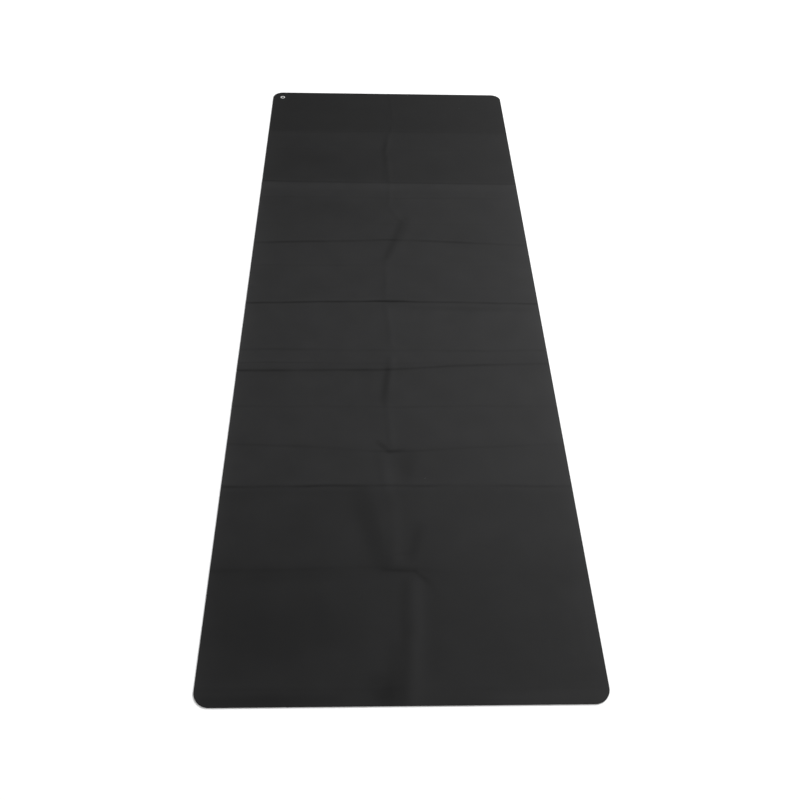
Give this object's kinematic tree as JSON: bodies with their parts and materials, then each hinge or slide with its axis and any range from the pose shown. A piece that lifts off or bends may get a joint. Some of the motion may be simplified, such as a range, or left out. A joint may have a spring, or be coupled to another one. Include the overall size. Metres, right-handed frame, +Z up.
{
  "type": "folding exercise mat",
  "caption": "Thin rubber exercise mat with a smooth skin, laid flat, that folds in half lengthwise and then in accordion panels.",
  "frame": {"origin": "on the floor under the middle of the mat, at the centre of its bottom face", "axes": "+X across the mat to the right, +Y along the mat from its near end to its far end, +Z up"},
  "size_m": [0.61, 1.73, 0.0016],
  "materials": {
    "top_skin": "matte polyurethane skin with a very fine leather-like grain",
    "rubber_base": "matte natural rubber with a fine grip texture underneath",
    "crease_strip": "the same skin and rubber, bent at a crease",
    "ring_mark": "pale matte heat-pressed film"
  },
  "bodies": {
    "panel_1_left": {"rubber_base_1_left": "rubber_base", "top_skin_1_left": "top_skin"},
    "panel_1_right": {"rubber_base_1_right": "rubber_base", "top_skin_1_right": "top_skin"},
    "crease_1_left": {"crease_1_left": "crease_strip"},
    "crease_1_right": {"crease_1_right": "crease_strip"},
    "panel_2_left": {"rubber_base_2_left": "rubber_base", "top_skin_2_left": "top_skin"},
    "panel_2_right": {"rubber_base_2_right": "rubber_base", "top_skin_2_right": "top_skin"},
    "crease_2_left": {"crease_2_left": "crease_strip"},
    "crease_2_right": {"crease_2_right": "crease_strip"},
    "panel_3_left": {"rubber_base_3_left": "rubber_base", "top_skin_3_left": "top_skin"},
    "panel_3_right": {"rubber_base_3_right": "rubber_base", "top_skin_3_right": "top_skin"},
    "crease_3_left": {"crease_3_left": "crease_strip"},
    "crease_3_right": {"crease_3_right": "crease_strip"},
    "panel_4_left": {"rubber_base_4_left": "rubber_base", "top_skin_4_left": "top_skin"},
    "panel_4_right": {"rubber_base_4_right": "rubber_base", "top_skin_4_right": "top_skin"},
    "crease_4_left": {"crease_4_left": "crease_strip"},
    "crease_4_right": {"crease_4_right": "crease_strip"},
    "panel_5_left": {"rubber_base_5_left": "rubber_base", "top_skin_5_left": "top_skin"},
    "panel_5_right": {"rubber_base_5_right": "rubber_base", "top_skin_5_right": "top_skin"},
    "crease_5_left": {"crease_5_left": "crease_strip"},
    "crease_5_right": {"crease_5_right": "crease_strip"},
    "panel_6_left": {"rubber_base_6_left": "rubber_base", "top_skin_6_left": "top_skin"},
    "panel_6_right": {"rubber_base_6_right": "rubber_base", "top_skin_6_right": "top_skin"},
    "crease_6_left": {"crease_6_left": "crease_strip"},
    "crease_6_right": {"crease_6_right": "crease_strip"},
    "panel_7_left": {"rubber_base_7_left": "rubber_base", "top_skin_7_left": "top_skin"},
    "panel_7_right": {"rubber_base_7_right": "rubber_base", "top_skin_7_right": "top_skin"},
    "crease_7_left": {"crease_7_left": "crease_strip"},
    "crease_7_right": {"crease_7_right": "crease_strip"},
    "panel_8_left": {"rubber_base_8_left": "rubber_base", "top_skin_8_left": "top_skin", "corner_mark": "ring_mark"},
    "panel_8_right": {"rubber_base_8_right": "rubber_base", "top_skin_8_right": "top_skin"}
  },
  "joints": [
    {"name": "lengthwise_fold", "type": "hinge", "parent": "panel_1_left", "child": "panel_1_right", "pos_m": [0, -0.74909, 0.002], "axis": [0, -1, 0], "range_deg": [0, 179.98]},
    {"name": "accordion_fold", "type": "hinge", "parent": "panel_1_left", "child": "panel_2_left", "pos_m": [0, -0.63318, 0.0045], "axis": [1, 0, 0], "range_deg": [0, 180]},
    {"name": "crease_1_bend", "type": "hinge", "parent": "panel_1_left", "child": "crease_1_left", "pos_m": [0, -0.63568, 0.002], "axis": [1, 0, 0], "range_deg": [0, 90], "deforming": ["crease_1_left", "crease_1_right"]},
    {"name": "lengthwise_crease_1", "type": "hinge", "parent": "crease_1_left", "child": "crease_1_right", "pos_m": [0, -0.63318, 0.002], "axis": [0, -1, 0], "range_deg": [0, 179.98]},
    {"name": "lengthwise_panel_2", "type": "hinge", "parent": "panel_2_left", "child": "panel_2_right", "pos_m": [0, -0.50775, 0.002], "axis": [0, -1, 0], "range_deg": [0, 179.98]},
    {"name": "crease_2_fold", "type": "hinge", "parent": "panel_2_left", "child": "panel_3_left", "pos_m": [0, -0.38233, -0.0005], "axis": [-1, 0, 0], "range_deg": [0, 180]},
    {"name": "crease_2_bend", "type": "hinge", "parent": "panel_2_left", "child": "crease_2_left", "pos_m": [0, -0.38483, 0.002], "axis": [-1, 0, 0], "range_deg": [0, 90], "deforming": ["crease_2_left", "crease_2_right"]},
    {"name": "lengthwise_crease_2", "type": "hinge", "parent": "crease_2_left", "child": "crease_2_right", "pos_m": [0, -0.38233, 0.002], "axis": [0, -1, 0], "range_deg": [0, 179.98]},
    {"name": "lengthwise_panel_3", "type": "hinge", "parent": "panel_3_left", "child": "panel_3_right", "pos_m": [0, -0.2794, 0.002], "axis": [0, -1, 0], "range_deg": [0, 179.98]},
    {"name": "crease_3_fold", "type": "hinge", "parent": "panel_3_left", "child": "panel_4_left", "pos_m": [0, -0.17646, 0.0045], "axis": [1, 0, 0], "range_deg": [0, 180]},
    {"name": "crease_3_bend", "type": "hinge", "parent": "panel_3_left", "child": "crease_3_left", "pos_m": [0, -0.17896, 0.002], "axis": [1, 0, 0], "range_deg": [0, 90], "deforming": ["crease_3_left", "crease_3_right"]},
    {"name": "lengthwise_crease_3", "type": "hinge", "parent": "crease_3_left", "child": "crease_3_right", "pos_m": [0, -0.17646, 0.002], "axis": [0, -1, 0], "range_deg": [0, 179.98]},
    {"name": "lengthwise_panel_4", "type": "hinge", "parent": "panel_4_left", "child": "panel_4_right", "pos_m": [0, -0.0839, 0.002], "axis": [0, -1, 0], "range_deg": [0, 179.98]},
    {"name": "crease_4_fold", "type": "hinge", "parent": "panel_4_left", "child": "panel_5_left", "pos_m": [0, 0.00865, -0.0005], "axis": [-1, 0, 0], "range_deg": [0, 180]},
    {"name": "crease_4_bend", "type": "hinge", "parent": "panel_4_left", "child": "crease_4_left", "pos_m": [0, 0.00615, 0.002], "axis": [-1, 0, 0], "range_deg": [0, 90], "deforming": ["crease_4_left", "crease_4_right"]},
    {"name": "lengthwise_crease_4", "type": "hinge", "parent": "crease_4_left", "child": "crease_4_right", "pos_m": [0, 0.00865, 0.002], "axis": [0, -1, 0], "range_deg": [0, 179.98]},
    {"name": "lengthwise_panel_5", "type": "hinge", "parent": "panel_5_left", "child": "panel_5_right", "pos_m": [0, 0.11245, 0.002], "axis": [0, -1, 0], "range_deg": [0, 179.98]},
    {"name": "crease_5_fold", "type": "hinge", "parent": "panel_5_left", "child": "panel_6_left", "pos_m": [0, 0.21625, 0.0045], "axis": [1, 0, 0], "range_deg": [0, 180]},
    {"name": "crease_5_bend", "type": "hinge", "parent": "panel_5_left", "child": "crease_5_left", "pos_m": [0, 0.21375, 0.002], "axis": [1, 0, 0], "range_deg": [0, 90], "deforming": ["crease_5_left", "crease_5_right"]},
    {"name": "lengthwise_crease_5", "type": "hinge", "parent": "crease_5_left", "child": "crease_5_right", "pos_m": [0, 0.21625, 0.002], "axis": [0, -1, 0], "range_deg": [0, 179.98]},
    {"name": "lengthwise_panel_6", "type": "hinge", "parent": "panel_6_left", "child": "panel_6_right", "pos_m": [0, 0.32956, 0.002], "axis": [0, -1, 0], "range_deg": [0, 179.98]},
    {"name": "crease_6_fold", "type": "hinge", "parent": "panel_6_left", "child": "panel_7_left", "pos_m": [0, 0.44288, -0.0005], "axis": [-1, 0, 0], "range_deg": [0, 180]},
    {"name": "crease_6_bend", "type": "hinge", "parent": "panel_6_left", "child": "crease_6_left", "pos_m": [0, 0.44038, 0.002], "axis": [-1, 0, 0], "range_deg": [0, 90], "deforming": ["crease_6_left", "crease_6_right"]},
    {"name": "lengthwise_crease_6", "type": "hinge", "parent": "crease_6_left", "child": "crease_6_right", "pos_m": [0, 0.44288, 0.002], "axis": [0, -1, 0], "range_deg": [0, 179.98]},
    {"name": "lengthwise_panel_7", "type": "hinge", "parent": "panel_7_left", "child": "panel_7_right", "pos_m": [0, 0.55533, 0.002], "axis": [0, -1, 0], "range_deg": [0, 179.98]},
    {"name": "crease_7_fold", "type": "hinge", "parent": "panel_7_left", "child": "panel_8_left", "pos_m": [0, 0.66778, 0.0045], "axis": [1, 0, 0], "range_deg": [0, 180]},
    {"name": "crease_7_bend", "type": "hinge", "parent": "panel_7_left", "child": "crease_7_left", "pos_m": [0, 0.66528, 0.002], "axis": [1, 0, 0], "range_deg": [0, 90], "deforming": ["crease_7_left", "crease_7_right"]},
    {"name": "lengthwise_crease_7", "type": "hinge", "parent": "crease_7_left", "child": "crease_7_right", "pos_m": [0, 0.66778, 0.002], "axis": [0, -1, 0], "range_deg": [0, 179.98]},
    {"name": "lengthwise_panel_8", "type": "hinge", "parent": "panel_8_left", "child": "panel_8_right", "pos_m": [0, 0.76639, 0.002], "axis": [0, -1, 0], "range_deg": [0, 179.98]}
  ],
  "couplings": [
    {"joint": "crease_1_bend", "follows": "accordion_fold", "ratio": 0.5},
    {"joint": "lengthwise_crease_1", "follows": "lengthwise_fold", "ratio": 1},
    {"joint": "lengthwise_panel_2", "follows": "lengthwise_fold", "ratio": 1},
    {"joint": "crease_2_fold", "follows": "accordion_fold", "ratio": 1},
    {"joint": "crease_2_bend", "follows": "accordion_fold", "ratio": 0.5},
    {"joint": "lengthwise_crease_2", "follows": "lengthwise_fold", "ratio": 1},
    {"joint": "lengthwise_panel_3", "follows": "lengthwise_fold", "ratio": 1},
    {"joint": "crease_3_fold", "follows": "accordion_fold", "ratio": 1},
    {"joint": "crease_3_bend", "follows": "accordion_fold", "ratio": 0.5},
    {"joint": "lengthwise_crease_3", "follows": "lengthwise_fold", "ratio": 1},
    {"joint": "lengthwise_panel_4", "follows": "lengthwise_fold", "ratio": 1},
    {"joint": "crease_4_fold", "follows": "accordion_fold", "ratio": 1},
    {"joint": "crease_4_bend", "follows": "accordion_fold", "ratio": 0.5},
    {"joint": "lengthwise_crease_4", "follows": "lengthwise_fold", "ratio": 1},
    {"joint": "lengthwise_panel_5", "follows": "lengthwise_fold", "ratio": 1},
    {"joint": "crease_5_fold", "follows": "accordion_fold", "ratio": 1},
    {"joint": "crease_5_bend", "follows": "accordion_fold", "ratio": 0.5},
    {"joint": "lengthwise_crease_5", "follows": "lengthwise_fold", "ratio": 1},
    {"joint": "lengthwise_panel_6", "follows": "lengthwise_fold", "ratio": 1},
    {"joint": "crease_6_fold", "follows": "accordion_fold", "ratio": 1},
    {"joint": "crease_6_bend", "follows": "accordion_fold", "ratio": 0.5},
    {"joint": "lengthwise_crease_6", "follows": "lengthwise_fold", "ratio": 1},
    {"joint": "lengthwise_panel_7", "follows": "lengthwise_fold", "ratio": 1},
    {"joint": "crease_7_fold", "follows": "accordion_fold", "ratio": 1},
    {"joint": "crease_7_bend", "follows": "accordion_fold", "ratio": 0.5},
    {"joint": "lengthwise_crease_7", "follows": "lengthwise_fold", "ratio": 1},
    {"joint": "lengthwise_panel_8", "follows": "lengthwise_fold", "ratio": 1}
  ]
}
